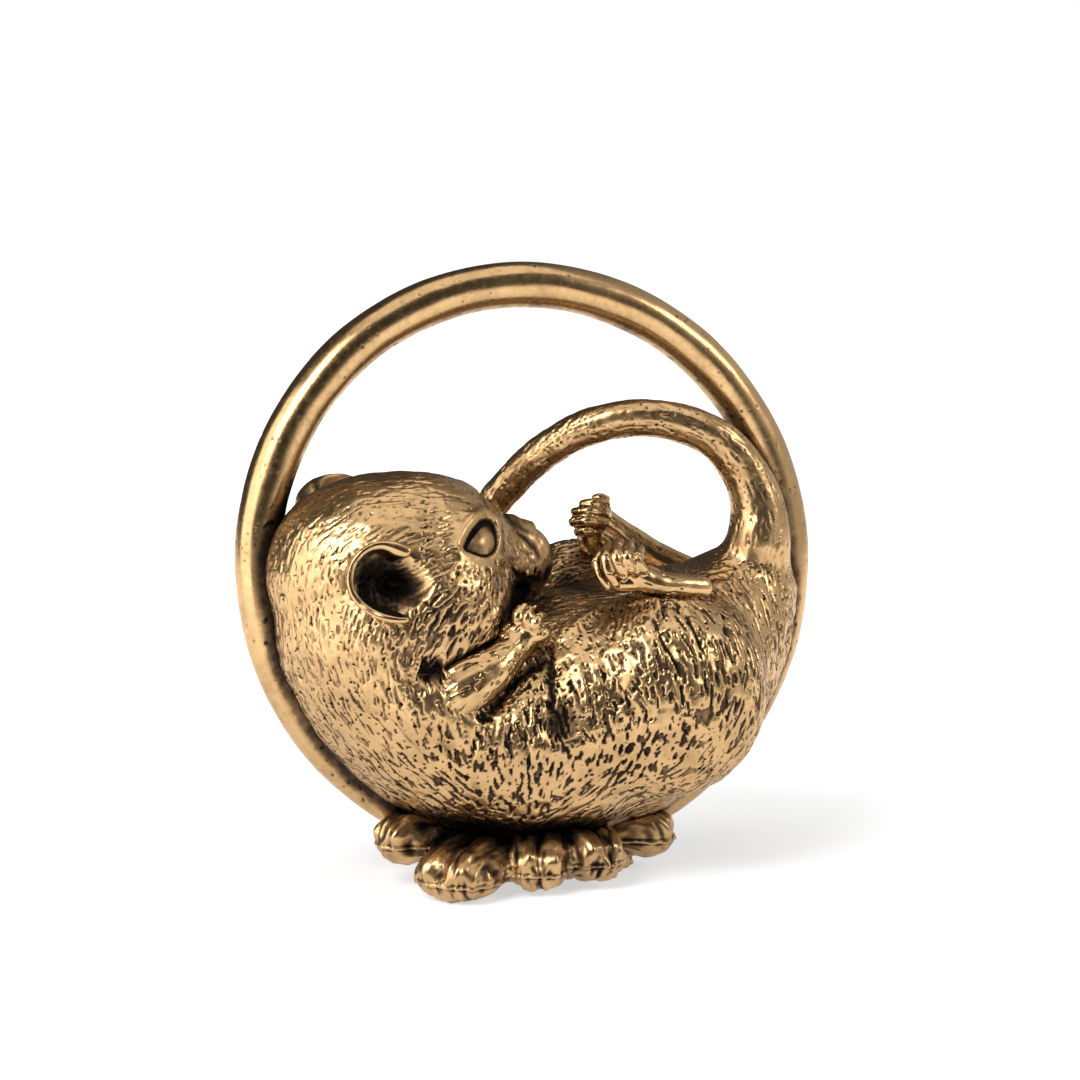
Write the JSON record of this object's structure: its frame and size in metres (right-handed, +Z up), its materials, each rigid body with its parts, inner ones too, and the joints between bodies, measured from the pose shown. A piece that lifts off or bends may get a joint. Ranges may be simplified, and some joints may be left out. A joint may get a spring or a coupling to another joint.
{
  "type": "dormouse figurine",
  "caption": "Small cast bronze ornament: a dormouse asleep on its back, curled inside a round rod hoop, tail arched over, standing on a lobed oak leaf.",
  "frame": {"origin": "on the table, under the middle of the leaf's flat foot", "axes": "+Z up, +X from the animal's nose to its tail, -Y towards the near side that faces the viewer"},
  "size_m": [0.0618, 0.0356, 0.0623],
  "materials": {
    "bronze_fur": "cast bronze with tooled fur, dark patina in the recesses, rubbed bright on the high places",
    "bronze_skin": "cast bronze, smooth paws, feet and ears with dark patina in the creases",
    "bronze_rod": "bent bronze rod, rubbed bright, with fine scuffs and pits",
    "bronze_leaf": "cast bronze leaf with veins, dark patina",
    "brass_dowel": "plain drawn brass pin, hidden in its joint"
  },
  "bodies": {
    "root": {"hoop": "bronze_rod", "hoop_butt_dowel": "brass_dowel", "torso": "bronze_fur", "head": "bronze_fur", "ear_near": "bronze_skin", "ear_far": "bronze_skin", "foreleg_near": "bronze_skin", "foreleg_far": "bronze_skin", "hind_foot_near": "bronze_skin", "hind_foot_far": "bronze_skin", "tail": "bronze_fur", "leaf_base": "bronze_leaf", "neck_dowel": "brass_dowel", "tail_dowel": "brass_dowel", "foreleg_dowel_near": "brass_dowel", "foreleg_dowel_far": "brass_dowel", "hind_foot_dowel_near": "brass_dowel", "hind_foot_dowel_far": "brass_dowel", "leaf_dowel_near": "brass_dowel", "leaf_dowel_far": "brass_dowel"}
  },
  "joints": []
}
